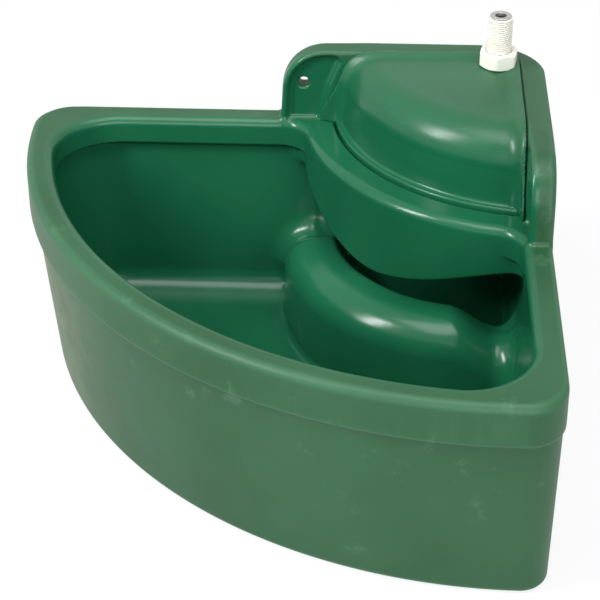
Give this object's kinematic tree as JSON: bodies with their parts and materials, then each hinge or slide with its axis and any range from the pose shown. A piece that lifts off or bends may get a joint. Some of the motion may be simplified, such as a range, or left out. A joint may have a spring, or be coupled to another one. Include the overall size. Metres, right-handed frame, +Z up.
{
  "type": "corner drinking bowl",
  "caption": "Quarter-round corner water bowl for livestock, with raised fixing wings and a float valve under a domed cover.",
  "frame": {"origin": "middle of the square footprint, on the base plane", "axes": "+Z up; +X and +Y point at the two walls that the bowl is fixed to, so the rounded front faces -X -Y"},
  "size_m": [0.4399, 0.4399, 0.2933],
  "materials": {
    "moulded_green": "satin rotomoulded polyethylene, glossier inside the bowl",
    "acetal_white": "smooth moulded acetal",
    "black_rubber": "matt",
    "stainless": "drawn wire",
    "brass": "turned",
    "plug_grey": "fine matt moulding"
  },
  "bodies": {
    "bowl": {"bowl_shell": "moulded_green"},
    "cover": {"valve_cover": "moulded_green", "inlet_back_nut": "acetal_white", "valve_body": "acetal_white", "valve_seal": "black_rubber", "valve_seat": "acetal_white", "inlet_strainer": "stainless", "pivot_pin": "stainless", "pin_clip": "stainless"},
    "piston": {"piston": "acetal_white", "piston_pad": "black_rubber"},
    "float_arm": {"float_arm": "acetal_white", "float_lock_nut": "brass", "float_ball": "acetal_white"},
    "drain_plug": {"drain_plug": "plug_grey", "drain_seal": "black_rubber"}
  },
  "joints": [
    {"name": "cover_lift", "type": "slide", "parent": "bowl", "child": "cover", "axis": [0, 0, 1], "range_m": [0, 0.16]},
    {"name": "arm_swing", "type": "hinge", "parent": "cover", "child": "float_arm", "pos_m": [0.18807, 0.18807, 0.177], "axis": [-0.7071, 0.7071, 0], "range_deg": [0, 22.5]},
    {"name": "piston_slide", "type": "slide", "parent": "cover", "child": "piston", "axis": [0, 0, 1], "range_m": [0, 0.00391]},
    {"name": "drain_lift", "type": "slide", "parent": "bowl", "child": "drain_plug", "axis": [0, 0, 1], "range_m": [0, 0.06]}
  ],
  "couplings": [
    {"joint": "piston_slide", "follows": "arm_swing", "m_per_rad": 0.009936}
  ]
}
